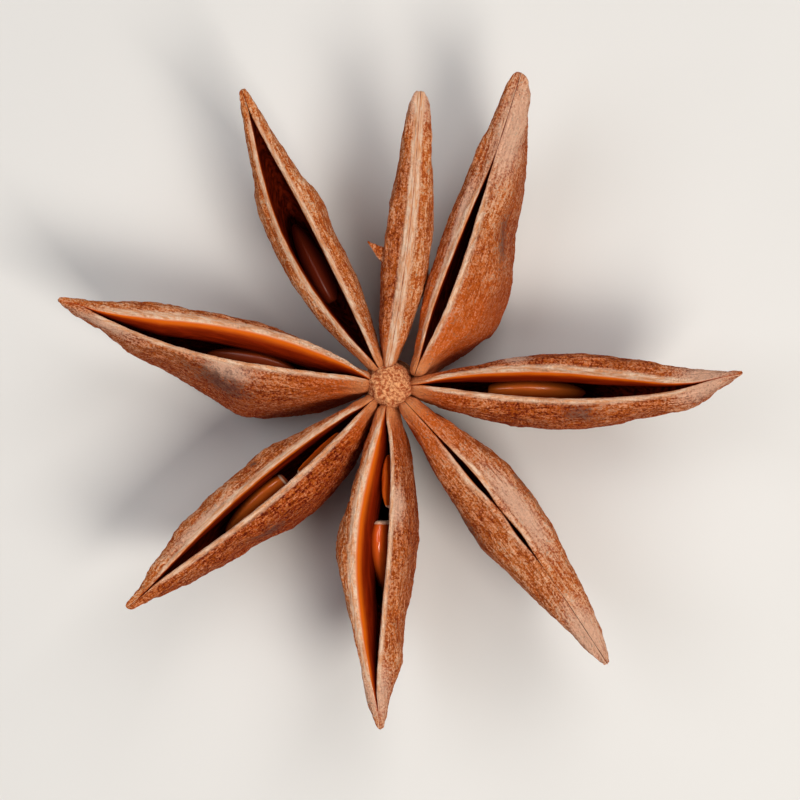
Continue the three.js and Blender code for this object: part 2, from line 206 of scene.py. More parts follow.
# The solids' box gives the column's axis: the eastern beak ends the box at +X, and the
# southern one ends it at -Y.
pod_low, pod_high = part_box("pod")
south = FOLLICLES["south"]
AXIS = Vector((
    pod_high.x - FOLLICLES["east"]["length"] * MM,
    pod_low.y - south["length"] * MM * math.sin(math.radians(south["azimuth"])),
    0,
))
print("column axis at", [round(value / MM, 2) for value in AXIS])

# %% [markdown]
# ## Floor, light and camera
#
# The pod lies on a pale floor and is seen straight from above. One soft lamp on the near
# right does the modelling, and two wider and weaker ones behind and on the left open its
# shadows. None hangs straight overhead, so that the deep narrow hollows stay as dark as
# they look in life.


# %% Floor, lamps and camera
LAMP_AIM = 0.005
FLOOR_SIZE = 2


def deselect():
    """Leaves nothing selected, because an operator acts on all that is selected."""
    bpy.ops.object.select_all(action="DESELECT")


def lamp(name, place, size, power, colour):
    """A square lamp that looks at the pod."""
    deselect()
    bpy.ops.object.light_add(type="AREA", location=place)
    light = bpy.context.object
    light.name = name
    light.data.size = size
    light.data.energy = power
    light.data.color = colour
    aim = Vector((0, 0, LAMP_AIM)) - Vector(place)
    light.rotation_euler = aim.to_track_quat("-Z", "Y").to_euler()


deselect()
bpy.ops.mesh.primitive_plane_add(size=FLOOR_SIZE)
floor = bpy.context.object
floor.name = "floor"

lamp("key", (0.13, -0.14, 0.27), 0.14, 0.78, (1.0, 0.95, 0.88))
lamp("fill", (0.1, 0.17, 0.27), 0.22, 0.46, (1.0, 0.97, 0.94))
lamp("back", (-0.2, 0.05, 0.25), 0.22, 0.3, (0.96, 0.97, 1.0))

VIEW_WIDTH = 0.0495
CAMERA_HEIGHT = 0.22
deselect()
bpy.ops.object.camera_add(location=(0, 0, CAMERA_HEIGHT), rotation=(0, 0, 0))
camera = bpy.context.object
camera.name = "camera"
camera.data.lens = camera.data.sensor_width * CAMERA_HEIGHT / VIEW_WIDTH
camera.data.clip_start = 0.01
bpy.context.scene.camera = camera

world = bpy.data.worlds.new("studio")
bpy.context.scene.world = world
world.use_nodes = True
world.node_tree.nodes["Background"].inputs["Color"].default_value = (0.9, 0.93, 1.0, 1)
world.node_tree.nodes["Background"].inputs["Strength"].default_value = 0.09
bpy.context.scene.view_settings.view_transform = "Standard"
print("camera lens", round(camera.data.lens, 1), "mm")

# %% [markdown]
# ## Writing materials as sums
#
# A material is a net of nodes. Long nets are hard to read as lists of links, so a small
# class wraps a socket, and an ordinary sum on it adds the Math nodes. One method adds
# every other kind of node: its settings come first, then the values of its sockets.


# %% A socket that can be calculated with
class Wire:
    """A value on its way through a material."""

    def __init__(self, finish, socket):
        self.finish = finish
        self.socket = socket

    def sum_with(self, operation, first, second):
        return self.finish.node("ShaderNodeMath", {"operation": operation}, {0: first, 1: second})

    def __add__(self, other):
        return self.sum_with("ADD", self, other)

    def __sub__(self, other):
        return self.sum_with("SUBTRACT", self, other)

    def __rsub__(self, other):
        return self.sum_with("SUBTRACT", other, self)

    def __mul__(self, other):
        return self.sum_with("MULTIPLY", self, other)

    __radd__ = __add__
    __rmul__ = __mul__


class Finish:
    """A material, built up node by node round its Principled shader."""

    def __init__(self, name):
        self.material = bpy.data.materials.new(name)
        self.material.use_nodes = True
        self.tree = self.material.node_tree
        self.shader = self.tree.nodes["Principled BSDF"]

    def node(self, kind, settings=None, sockets=None, output=0):
        """Adds a node, with its settings first and then its sockets' values or links."""
        made = self.tree.nodes.new(kind)
        for name, value in (settings or {}).items():
            setattr(made, name, value)
        for key, value in (sockets or {}).items():
            self.connect(made.inputs[key], value)
        return Wire(self, made.outputs[output])

    def connect(self, socket, value):
        if isinstance(value, Wire):
            self.tree.links.new(value.socket, socket)
        elif isinstance(value, tuple) and socket.type == "RGBA":
            socket.default_value = (*value, 1)
        else:
            socket.default_value = value

    def set(self, **sockets):
        """Gives the shader's own sockets their values, such as base_color."""
        for name, value in sockets.items():
            title = name.replace("_", " ").title().replace("Ior", "IOR")
            self.connect(self.shader.inputs[title], value)

    def attribute(self, name, output="Fac"):
        return self.node("ShaderNodeAttribute", {"attribute_name": name}, output=output)

    def scaled(self, vector, factors):
        settings = {"operation": "MULTIPLY"}
        return self.node("ShaderNodeVectorMath", settings, {0: vector, 1: factors})

    def noise(self, vector, scale, detail=3.0, roughness=0.55, distortion=0.0):
        sockets = {
            "Vector": vector, "Scale": scale, "Detail": detail,
            "Roughness": roughness, "Distortion": distortion,
        }
        return self.node("ShaderNodeTexNoise", {}, sockets)

    def span(self, value, low, high):
        """0 below the low value, 1 above the high one, and a soft step between."""
        settings = {"interpolation_type": "SMOOTHSTEP", "clamp": True}
        return self.node("ShaderNodeMapRange", settings, {0: value, 1: low, 2: high})

    def millimetres(self):
        """The place of a point in the object's own space, counted in millimetres."""
        place = self.node("ShaderNodeTexCoord", output="Object")
        return self.scaled(place, (1 / MM, 1 / MM, 1 / MM))

    def mix(self, factor, first, second):
        """The first colour where the factor is 0, and the second where it is 1."""
        settings = {"data_type": "RGBA", "clamp_factor": True}
        return self.node("ShaderNodeMix", settings, {0: factor, 6: first, 7: second}, output=2)

    def over(self, colour, *coats):
        """Lays coats over a colour, one after another: how strongly, and in which colour."""
        for strength, coat in coats:
            colour = self.mix(strength, colour, coat)
        return colour

    def bump(self, height, distance, strength=1.0):
        sockets = {"Height": height, "Distance": distance, "Strength": strength}
        return self.node("ShaderNodeBump", {}, sockets)


# %% [markdown]
# ## Floor finish
#
# The floor only has to be pale and quiet. A faint unevenness keeps it from looking like
# an empty background.

# %% Pale floor
pale_floor = Finish("pale_floor")
floor_place = pale_floor.node("ShaderNodeTexCoord", output="Object")
floor_cloud = pale_floor.noise(floor_place, 60, 2)
pale_floor.set(
    base_color=pale_floor.mix(floor_cloud, (0.72, 0.71, 0.69), (0.76, 0.75, 0.73)),
    roughness=0.85,
)
floor.data.materials.append(pale_floor.material)

# %% [markdown]
# ## Rind
#
# The outside of a follicle is dry and finely wrinkled. Its raised grain is rubbed pale,
# the furrows between are dark red-brown, and orange specks lie among them. Where the
# colour follows the relief, it is painted: painted shade in the dents and painted
# highlight on the bumps. Towards the column it turns orange. The torn edge of a lip is the
# palest line of all, and the keel carries a crumbly crest of cork. The pattern has to
# follow each follicle along its length, so it reads "skin", the place of every point while
# the follicle still lay straight, and "around", which runs from the hollow's floor (0)
# over the lip (0.4 to 0.5) to the keel (1). "Relief" is how far the surface was pushed out
# or in, in mm.

# %% What the rind reads
rind = Finish("rind")
skin = rind.attribute("skin", "Vector")
along = rind.node("ShaderNodeSeparateXYZ", {}, {0: skin})
around = rind.attribute("around")
relief = rind.attribute("relief")
lip_edge = rind.attribute("lip_edge")
tone = rind.attribute("tone")
scuff = rind.attribute("scuff")
bloom = rind.attribute("bloom")
ember = rind.attribute("ember")

fibre = rind.noise(rind.scaled(skin, (1.0, 7.0, 7.0)), 1.0, 4, 0.66, 0.5)
grain = rind.noise(skin, 7.5, 3, 0.7)
mottle = rind.noise(skin, 2.2, 3, 0.6)
cloud = rind.noise(skin, 0.5, 3, 0.55)

# %% From the furrows to the ridges
# Where the relief term sinks in, the dark furrow colour is painted shade in the dents, and where
# it rises, the pale ridge colour is painted highlight. The three noises are the rind's own grain.
grain_and_relief_shading = relief * 1.3 + fibre * 3.3 + grain * 4.2 + mottle * 2.2 - 4.4
pale = rind.span(tone + cloud * 1.2 - 0.6, -0.15, 1.15)
furrow_and_shade_colour = rind.mix(pale, (0.11, 0.005, 0.0005), (0.46, 0.075, 0.014))
middle_colour = rind.mix(pale, (0.42, 0.045, 0.003), (0.82, 0.3, 0.095))
ridge_and_highlight_colour = rind.mix(pale, (0.8, 0.2, 0.033), (1.0, 0.62, 0.39))
low_half = rind.mix(rind.span(grain_and_relief_shading, -0.1, 0.6), furrow_and_shade_colour, middle_colour)
body_colour = rind.mix(rind.span(grain_and_relief_shading, 0.45, 1.2), low_half, ridge_and_highlight_colour)

# %% Coats over the rind
orange_speck = rind.span(rind.noise(skin, 5.0, 2), 0.45, 0.62)
knob = rind.span(along + grain * 1.5, 3.8, 2.2)
flank = rind.span(around, 0.6, 0.85)
bloomed = rind.span(bloom + grain * 1.6 + fibre * 1.2, 1.4, 2.3)
scuffed = rind.span(scuff + grain * 2.4 + mottle * 1.6, 2.15, 2.9)
cork = rind.span(around + relief * 0.12, 0.93, 0.985)
cork_colour = rind.mix(rind.span(grain, 0.35, 0.65), (0.22, 0.07, 0.03), (0.7, 0.4, 0.25))
torn = rind.span(lip_edge + grain * 0.3 - 0.15, 0.25, 0.7)
torn_colour = rind.mix(rind.span(fibre, 0.35, 0.65), (0.88, 0.38, 0.17), (1.0, 0.72, 0.52))
worn = 0.74 + 0.22 * rind.span(cloud, 0.4, 0.6)
rind_colour = rind.over(
    body_colour,
    (orange_speck * 0.45, (0.7, 0.15, 0.012)),
    (ember * (0.45 + 0.5 * fibre), (0.72, 0.12, 0.01)),
    (knob * 0.6, (0.86, 0.34, 0.13)),
    (flank * 0.5, (0.27, 0.022, 0.002)),
    (bloomed * 0.7, (0.98, 0.62, 0.44)),
    (scuffed * 0.75, (0.12, 0.06, 0.05)),
    (cork * 0.85, cork_colour),
    (torn * worn, torn_colour),
)
rind.set(
    base_color=rind_colour,
    roughness=0.8 - grain * 0.1,
    normal=rind.bump(fibre + grain * 1.3 + mottle * 0.6, 0.18 * MM),
    specular_ior_level=0.06,
)

# %% [markdown]
# ## Inner wall
#
# The lining of a follicle is hard and smooth, almost varnished. Its colour paints light
# and shade: painted light makes it golden orange just under the lip, where it rolls over
# and catches the light, and painted shade darkens it towards the floor. Fine streaks run
# along it.

# %% Inner wall finish
lining = Finish("lining")
lining_skin = lining.attribute("skin", "Vector")
lining_around = lining.attribute("around")
lining_edge = lining.attribute("lip_edge")
# How much painted light the lining gets under the lip, one number for each follicle.
lining_light = lining.attribute("lining_light")
streak = lining.noise(lining.scaled(lining_skin, (0.35, 4.5, 4.5)), 1.0, 4, 0.6, 0.3)
lining_cloud = lining.noise(lining_skin, 0.8, 2)

streaked = lining.span(streak, 0.34, 0.7)
# Painted shade: near black deep in the hollow and dark red at the foot of the roll, where shade
# falls.
deep_shade_colour = lining.mix(streaked, (0.055, 0.003, 0.0005), (0.28, 0.024, 0.003))
roll_foot_shade_colour = lining.mix(streaked, (0.07, 0.003, 0.0004), (0.17, 0.011, 0.001))
# The golden orange of the roll under the lip where painted light falls on it.
lit_lining_colour = lining.mix(streaked, (0.55, 0.055, 0.0015), (0.74, 0.13, 0.006))
brighter = lining.span(lining_cloud, 0.45, 0.75)
lit = lining.span(lining_around, 0.388, 0.424) * lining_light
lining_colour = lining.over(
    deep_shade_colour,
    (lining.span(lining_around, 0.2, 0.33), roll_foot_shade_colour),
    # Painted light in two steps: a little where the roll begins to turn up, then the full golden
    # colour just under the lip.
    (lining.span(lining_around, 0.35, 0.4) * lining_light * 0.35, (0.36, 0.03, 0.002)),
    (lit, lining.over(lit_lining_colour, (brighter * 0.3, (0.85, 0.2, 0.012)))),
    (lining.span(lining_edge, 0.25, 0.5) * 0.8, (0.7, 0.13, 0.004)),
    (lining.span(lining_edge, 0.5, 0.75) * 0.9, (0.88, 0.56, 0.36)),
)
lining.set(
    base_color=lining_colour,
    roughness=0.36 + streak * 0.14,
    normal=lining.bump(streak, 0.05 * MM, 0.5),
    coat_weight=0.06 * lit,
    coat_roughness=0.22,
    specular_ior_level=0.05,
)

# %% [markdown]
# ## Column and seed finishes
#
# The column's top is the scar where the carpels met: pale, pinkish and rough like the
# end grain of a twig. Where the stalk broke off below, its middle has gone dark. The
# seed coat is the opposite of all that, a hard chestnut gloss with hardly any pattern.

# %% Column finish
cork_end = Finish("column_grain")
place = cork_end.millimetres()
column_relief = cork_end.attribute("relief")
dark_part = cork_end.attribute("shade")
pebbles = cork_end.noise(place, 6.0, 4, 0.66, 0.3)
column_raised = cork_end.span(column_relief * 2.0 + pebbles * 3.2, 1.15, 2.0)
column_low = cork_end.mix(dark_part, (0.42, 0.075, 0.018), (0.035, 0.014, 0.01))
column_high = cork_end.mix(dark_part, (0.92, 0.43, 0.19), (0.2, 0.1, 0.075))
cork_end.set(
    base_color=cork_end.mix(column_raised, column_low, column_high),
    roughness=0.88,
    normal=cork_end.bump(pebbles, 0.16 * MM),
    specular_ior_level=0.12,
)

# %% Seed finish
seed_coat = Finish("seed_coat")
seed_place = seed_coat.millimetres()
seed_cloud = seed_coat.noise(seed_place, 0.7, 3)
hilum = seed_coat.attribute("hilum")
lit_seed_edge = seed_coat.attribute("ridge")
painted_seed_shade = seed_coat.attribute("dark")
painted_seed_light = seed_coat.attribute("light")
# Painted light and shade: round the seed's narrow edge the coat is bright orange as if lit, and
# on its flat sides dark red as if in shade.
lit_edge_colour = seed_coat.mix(seed_cloud, (0.74, 0.07, 0.004), (0.92, 0.16, 0.014))
# Painted light: seeds that sit in shade are made paler orange by their light mark.
lit_edge_colour = seed_coat.over(lit_edge_colour, (painted_seed_light, (1.0, 0.3, 0.045)))
seed_colour = seed_coat.over(
    seed_coat.mix(lit_seed_edge, (0.26, 0.022, 0.002), lit_edge_colour),
    # Painted shade: seeds deep in their hollows are darkened by their dark mark.
    (painted_seed_shade, (0.13, 0.01, 0.001)),
    (hilum, (0.5, 0.09, 0.02)),
    (hilum * (1 - hilum) * 4, (0.95, 0.62, 0.42)),
)
# Under painted shade the coat is also rougher and less glossy, so its highlight fades.
seed_coat.set(
    base_color=seed_colour,
    roughness=0.2 + hilum * 0.5 + painted_seed_shade * 0.3,
    normal=seed_coat.bump(seed_coat.noise(seed_place, 3.0, 2), 0.02 * MM, 0.4),
    coat_weight=0.7 * (1 - hilum) * (1 - 0.9 * painted_seed_shade),
    coat_roughness=0.08,
)
print("finishes:", sorted(material.name for material in bpy.data.materials if material.users))

# %% [markdown]
# ## The shape of one follicle
#
# A follicle can be made like a boat: a ring of points is extruded station by station
# along its length, and at each station the points slide to the outline that the section
# has there. The ring is a C on its back rather than an O, so that it runs down the
# outside to the keel, and over the lip down into the hollow. That way the lips get a
# true thickness, and every point knows how far round it lies. Where the seam is shut,
# the hollow shrinks to a fine groove, which is just what a closed seam looks like.


# %% Small helpers
def clamp01(value):
    return min(max(value, 0.0), 1.0)


def quarter_sine(share):
    """Rises from 0 to 1, fast at first and ever more slowly."""
    return math.sin(clamp01(share) * math.pi / 2)


def fade(share, power):
    """0 at the two ends of a stretch and 1 midway."""
    return max(math.sin(math.pi * clamp01(share)), 0.0) ** power


def blend(first, second, share):
    return first + (second - first) * share


# %% Width and depth along the length
WIDENING = 1.2
NARROWING = 1.25
SHALLOWING = 0.9


def rounding(along):
    """1, and less only at the very tip, which it makes blunt."""
    return blend(BLUNT_END, 1, quarter_sine((1 - along) / BLUNT))


def half_width(follicle, along):
    belly = follicle["belly"]
    rising = blend(ROOT_WIDTH, 1, quarter_sine((along - ROOT) / (belly - ROOT)) ** WIDENING)
    falling = blend(follicle["tip"], 1, quarter_sine((1 - along) / (1 - belly)) ** NARROWING)
    return follicle["width"] / 2 * (rising if along < belly else falling) * rounding(along)


def depth(follicle, along):
    deepest = follicle["drop"] / math.cos(math.radians(follicle["lean"])) - LIP_SAG
    rising = blend(ROOT_DEPTH, 1, quarter_sine((along - ROOT) / (DEEPEST - ROOT)))
    falling = blend(TIP_DEPTH, 1, quarter_sine((1 - along) / (1 - DEEPEST)) ** SHALLOWING)
    return deepest * (rising if along < DEEPEST else falling) * rounding(along)


def swelling(follicle, along, sign):
    """How much fuller the flank on one side is here."""
    near = [bulge for bulge in follicle["bulges"] if bulge[1] == sign]
    return 1 + sum(grow * math.exp(-(((along - at) / BULGE_REACH) ** 2)) for at, _, grow in near)


# %% Openings
SHIFT_FADE = 0.5
FULLY_OPEN = 0.7


def opening_at(follicle, along):
    """The opening that this place lies in, or None where the seam is shut."""
    for opening in follicle["openings"]:
        if opening[0] < along < opening[1]:
            return opening
    return None


def through(opening, along):
    """How far through an opening this place lies."""
    return (along - opening[0]) / (opening[1] - opening[0]) if opening else 0.0


def gape(opening, along):
    """How far a gap has opened: nothing at its two ends, all of it at its peak."""
    start, end, _, peak, near = opening
    if along < peak:
        return quarter_sine((along - start) / (peak - start)) ** near
    return quarter_sine((end - along) / (end - peak)) ** FAR


def mouth_at(follicle, along, sign):
    """How far the gap reaches to one side, which is less than nothing where it is shifted."""
    opening = opening_at(follicle, along)
    if not opening:
        return SHUT
    share = through(opening, along)
    half = max(opening[2] / 2 * gape(opening, along), SLIT)
    shift = blend(*follicle["shift"], share) * fade(share, SHIFT_FADE)
    widest = TOP_SHARE * half_width(follicle, along) - RIM
    return min(half + sign * shift, widest)


def openness(follicle, along):
    """0 where the seam is shut and 1 where the mouth is wide open."""
    gap = mouth_at(follicle, along, 1) + mouth_at(follicle, along, -1)
    return clamp01((gap / 2 - SHUT) / FULLY_OPEN)


# %% The outline of one section
# How a section runs on one side, as shares of the half width and of the depth: from the
# band beside the lip down to the keel, and for the hollow from its floor upwards.
FLANK = [
    (0.88, 0.06), (0.97, 0.14), (1.0, 0.26), (0.98, 0.44), (0.89, 0.58),
    (0.74, 0.71), (0.52, 0.84), (0.28, 0.95), (0.0, 1.0),
]
HOLLOW = [
    (0.0, 1.0), (0.25, 0.97), (0.6, 0.83), (0.86, 0.62), (1.0, 0.4), (0.96, 0.2), (0.8, 0.08),
]
ROOM_FADE = 0.6
FLOOR_FADE = 0.4
FLOOR_GAP = 0.03
ROLL_HIDDEN = 0.08
SHUT_NECK = 0.05
DEEPEST_NECK = 0.3
LIP_CREST = 0.05
LEAST_RIM = 0.03

# A section's points are numbered from the hollow's floor, and this one is the mouth.
MOUTH_SPOT = len(HOLLOW) + 2


def outline(follicle, along, sign):
    """One side of a section from the hollow's floor to the keel: ways out, and falls."""
    wide, deep = half_width(follicle, along), depth(follicle, along)
    opening = opening_at(follicle, along)
    share = through(opening, along)
    mouth, opened = mouth_at(follicle, along, sign), openness(follicle, along)
    rim = min(RIM, max(TOP_SHARE * wide - mouth, LEAST_RIM))
    full = swelling(follicle, along, sign)
    room = blend(mouth, max(wide * min(full, 1) - WALL, mouth), fade(share, ROOM_FADE))
    shown_roll, neck = follicle["roll"]
    roll = opened * (shown_roll if sign * follicle["lean"] > 0 else ROLL_HIDDEN)
    neck = min(neck * opened + SHUT_NECK, DEEPEST_NECK * deep)
    floor_fall = neck + FLOOR_GAP
    if opening:
        hollow_depth = (deep - KEEL_WALL - LIP_DEPTH) * fade(share, FLOOR_FADE) + END_DEPTH
        floor_fall = max(LIP_DEPTH + hollow_depth, floor_fall)
    inside = [(across * room, blend(neck, floor_fall, down)) for across, down in HOLLOW]
    crest = LIP_CREST * blend(0.4, 1, opened)
    # The lip runs from the roll below it up to its torn edge, and over that to the outside.
    lip = [
        (mouth - roll, neck),
        (mouth - 0.72 * roll, 0.4 * neck),
        (mouth, 0.1 * opened + 0.01),
        (mouth + 0.45 * rim, -crest),
        (mouth + rim, 0.03),
    ]
    band = [(blend(mouth + rim, FLANK[0][0] * wide, 0.5), 0.02 * deep)]
    flank = [(across * wide * full, down * deep) for across, down in FLANK]
    return inside + lip + band + flank


SIDE = len(outline(FOLLICLES["east"], 0.5, 1)) - 1
RING = 2 * SIDE
print("points on one side of a section:", SIDE, "- the mouth is number", MOUTH_SPOT)


# %% Bends of a follicle
EASE = 1.5


def lean_at(follicle, along):
    lost = LEAN_LOSS * clamp01((along - DEEPEST) / (1 - DEEPEST))
    return math.radians(follicle["lean"]) * quarter_sine(along / UPRIGHT) * (1 - lost)


def seam_at(follicle, along):
    """Where the seam runs while the follicle still points along +X."""
    sag = LIP_SAG * math.sin(math.pi * clamp01(along / BEAK))
    rise = follicle["rise"] * clamp01((along - BEAK) / (1 - BEAK)) ** 2
    bow = follicle["bow"] * math.sin(math.pi * along)
    bow += follicle["aside"] * clamp01(1 - along / ASIDE_REACH) ** EASE
    hook = follicle["hook"] * clamp01((along - HOOK) / (1 - HOOK)) ** EASE
    return Vector((follicle["length"] * along, bow + hook, LIP_HEIGHT - sag + rise)) * MM


def place_at(follicle, along, side, fall):
    """A place on the finished follicle, from its way to one side and its fall, in mm."""
    lean = lean_at(follicle, along)
    down = Vector((0, -math.sin(lean), -math.cos(lean)))
    across = Vector((0, math.cos(lean), -math.sin(lean)))
    return seam_at(follicle, along) + (down * fall + across * side) * MM


east_keel = depth(FOLLICLES["east"], DEEPEST)
print("keel of the east follicle at its deepest", round(east_keel, 2), "mm down")

# %% [markdown]
# ## Extruding the follicle
#
# By hand this would be: add a circle, extrude it, slide its points, tilt and lift it,
# and so on to the beak. The code below does the same. Before a ring is tilted, its
# straight place is written to the "skin" attribute, and its share round the section to
# "around", so that the finishes can follow the follicle however it bends later.


# %% Rings of points
def named(name):
    """Names the piece that was just added, and leaves its turn in its mesh."""
    piece = bpy.context.object
    piece.name = piece.data.name = name
    bpy.ops.object.transform_apply(location=False, rotation=True, scale=False)
    return piece


def add_ring(name, corners, turn=(0, 0, 0)):
    deselect()
    bpy.ops.mesh.primitive_circle_add(vertices=corners, radius=MM, rotation=turn)
    return named(name)


def start_editing():
    """Goes into edit mode with everything selected."""
    bpy.ops.object.mode_set(mode="EDIT")
    bpy.ops.mesh.select_mode(type="EDGE")
    bpy.ops.mesh.select_all(action="SELECT")


def extrude_last_ring(piece, corners):
    """Selects the ring that was made last, with its edges, and extrudes it."""
    shape = bmesh.from_edit_mesh(piece.data)
    shape.verts.ensure_lookup_table()
    newest = set(shape.verts[-corners:])
    bpy.ops.mesh.select_all(action="DESELECT")
    for edge in shape.edges:
        edge.select = edge.verts[0] in newest and edge.verts[1] in newest
    bmesh.update_edit_mesh(piece.data)
    bpy.ops.mesh.extrude_edges_move()


def close_up():
    """Caps the last ring, turns all faces outward and leaves edit mode."""
    bpy.ops.mesh.edge_face_add()
    bpy.ops.mesh.select_all(action="SELECT")
    bpy.ops.mesh.normals_make_consistent(inside=False)
    bpy.ops.object.mode_set(mode="OBJECT")


# %% Points that know their place
ACROSS_X = (0, math.pi / 2, 0)
MARKS = {"spot": "INT", "around": "FLOAT", "lip_edge": "FLOAT", "skin": "FLOAT_VECTOR"}
GROUPS = ["rind", "keel", "lip"]


def weights(spot):
    """How much a point belongs to the rind, to the keel's crest and to the lip."""
    past_lip = spot - MOUTH_SPOT - 1
    return {
        "rind": clamp01(past_lip / 2.5),
        "keel": clamp01((spot - SIDE + 2.2) / 2),
        "lip": clamp01(1.5 - abs(past_lip) / 1.5),
    }


def edge_share(spot):
    """1 on the torn edge of a lip, and 0 away from it."""
    return clamp01(1.65 - abs(spot - MOUTH_SPOT - 1))


def first_ring(name):
    """A ring across +X whose points know their number, counted from the top."""
    piece = add_ring(name, RING, ACROSS_X)
    for mark_name, kind in MARKS.items():
        piece.data.attributes.new(mark_name, kind, "POINT")
    numbers = piece.data.attributes["spot"].data
    for point in piece.data.vertices:
        # The circle's points lie halfway between the numbers, so each takes the next one.
        turn = math.atan2(point.co.y, point.co.z)
        numbers[point.index].value = math.floor(turn / (2 * math.pi) * RING) + 1
    for group in GROUPS:
        piece.vertex_groups.new(name=group)
    return piece


# %% Shape one ring
def slide_ring(piece, follicle, along):
    """Slides the selected ring's points to the section's outline, and marks them."""
    shape = bmesh.from_edit_mesh(piece.data)
    spots = shape.verts.layers.int["spot"]
    around = shape.verts.layers.float["around"]
    lip_edge = shape.verts.layers.float["lip_edge"]
    skin = shape.verts.layers.float_vector["skin"]
    deform = shape.verts.layers.deform.verify()
    sections = {sign: outline(follicle, along, sign) for sign in (1, -1)}
    edge_strength = blend(follicle["seam"], 1, clamp01(3 * openness(follicle, along)))
    for point in (point for point in shape.verts if point.select):
        spot = abs(point[spots])
        sign = 1 if point[spots] >= 0 else -1
        across, fall = sections[sign][spot]
        point.co = Vector((follicle["length"] * along, sign * across, -fall)) * MM
        point[around] = spot / SIDE
        point[lip_edge] = edge_share(spot) * edge_strength
        point[skin] = point.co / MM
        for name, weight in weights(spot).items():
            point[deform][piece.vertex_groups[name].index] = weight
    bmesh.update_edit_mesh(piece.data)


def bend_ring(follicle, along):
    """Tilts the selected ring about the seam, then moves it to where the seam runs."""
    straight = Vector((follicle["length"] * along * MM, 0, 0))
    bpy.ops.transform.rotate(
        value=lean_at(follicle, along), orient_axis="X", orient_type="GLOBAL",
        center_override=straight,
    )
    bpy.ops.transform.translate(value=seam_at(follicle, along) - straight)


# %% Extrude from ring to ring
STATIONS = 27
CROWDING = 1.2


def station(row):
    """How far along a ring lies. The rings stand a little closer towards the beak."""
    share = 1 - (1 - row / (STATIONS - 1)) ** CROWDING
    return blend(ROOT, 1, share)


def extrude_follicle(name, follicle):
    piece = first_ring(name)
    start_editing()
    slide_ring(piece, follicle, ROOT)
    bend_ring(follicle, ROOT)
    bpy.ops.mesh.edge_face_add()
    for row in range(1, STATIONS):
        extrude_last_ring(piece, RING)
        slide_ring(piece, follicle, station(row))
        bend_ring(follicle, station(row))
    close_up()
    return piece


def paint_parts(piece):
    """Rind all over, and lining on the faces that lie wholly inside the mouth."""
    piece.data.materials.append(rind.material)
    piece.data.materials.append(lining.material)
    spots = piece.data.attributes["spot"].data
    for face in piece.data.polygons:
        outermost = max(abs(spots[corner].value) for corner in face.vertices)
        face.material_index = 1 if outermost <= MOUTH_SPOT else 0


# %% [markdown]
# ## Wrinkles
#
# A drying rind shrinks over its hard lining, so it is covered with wrinkles: broad
# dents, a net of fine ridges that runs more along the follicle than across it, and a
# crumbly crest on the keel. Displace modifiers push a finely subdivided surface in and
# out by procedural textures. Each reads an empty's scale, which stretches its pattern
# along the follicle, and a vertex group, so that the lining stays smooth.

# %% Textures for the relief
def relief_texture(name, kind, **settings):
    texture = bpy.data.textures.new(name, kind)
    texture.noise_scale = 1.0
    for setting, value in settings.items():
        setattr(texture, setting, value)
    return texture


DENTS = relief_texture("dents", "CLOUDS", noise_depth=1)
WRINKLES = relief_texture("wrinkles", "CLOUDS", noise_depth=3, noise_type="HARD_NOISE")
GRAINS = relief_texture("grains", "CLOUDS", noise_depth=2)
CRUMBS = relief_texture("crumbs", "VORONOI", distance_metric="DISTANCE")

# Texture, size of its pattern along and across in mm, height in mm, and vertex group.
RIND_RELIEF = [
    (DENTS, (3.4, 1.5), 0.32, "rind"),
    (WRINKLES, (2.2, 0.6), 0.17, "rind"),
    (GRAINS, (0.5, 0.3), 0.08, "rind"),
    (CRUMBS, (0.5, 0.5), 0.28, "keel"),
    (GRAINS, (0.9, 0.4), 0.1, "lip"),
]
print("textures:", [texture.name for texture in bpy.data.textures])


# %% Reading and marking points
def read_vectors(data, kind):
    """One row of three numbers for each of the points or of an attribute's values."""
    values = np.empty(len(data) * 3)
    data.foreach_get(kind, values)
    return values.reshape(-1, 3)


def read_points(piece):
    return read_vectors(piece.data.vertices, "co")


def read_skin(piece):
    return read_vectors(piece.data.attributes["skin"].data, "vector")


def mark(piece, name, values):
    """Writes numbers for a finish to read: one for every point, or the same for all."""
    attribute = piece.data.attributes.new(name, "FLOAT", "POINT")
    every = np.broadcast_to(values, len(piece.data.vertices))
    attribute.data.foreach_set("value", np.ascontiguousarray(every, dtype=np.float32))


def mark_skin(piece):
    """Writes where every point lies in mm, for pieces that are made in their place."""
    places = read_points(piece) / MM
    attribute = piece.data.attributes.new("skin", "FLOAT_VECTOR", "POINT")
    attribute.data.foreach_set("vector", places.ravel().astype(np.float32))
    return places


# %% Displacement
DETAIL = 3
NEXT_PATCH = 3.1


def make_real(piece, modifier):
    bpy.context.view_layer.objects.active = piece
    bpy.ops.object.modifier_apply(modifier=modifier.name)


def push(piece, texture, size, height, group, patch, slant):
    """Pushes the surface in and out by a texture, stretched along +X or aslant to it."""
    deselect()
    bpy.ops.object.empty_add(location=Vector((patch, patch * 1.7, -patch)) * MM)
    grid = bpy.context.object
    grid.scale = Vector((size[0], size[1], size[1])) * MM
    grid.rotation_euler = (0, 0, math.radians(slant))
    bpy.context.view_layer.update()
    displace = piece.modifiers.new("relief", "DISPLACE")
    displace.texture = texture
    displace.texture_coords = "OBJECT"
    displace.texture_coords_object = grid
    displace.strength = height * MM
    displace.mid_level = 0.5
    if group:
        displace.vertex_group = group
    make_real(piece, displace)
    bpy.data.objects.remove(grid)


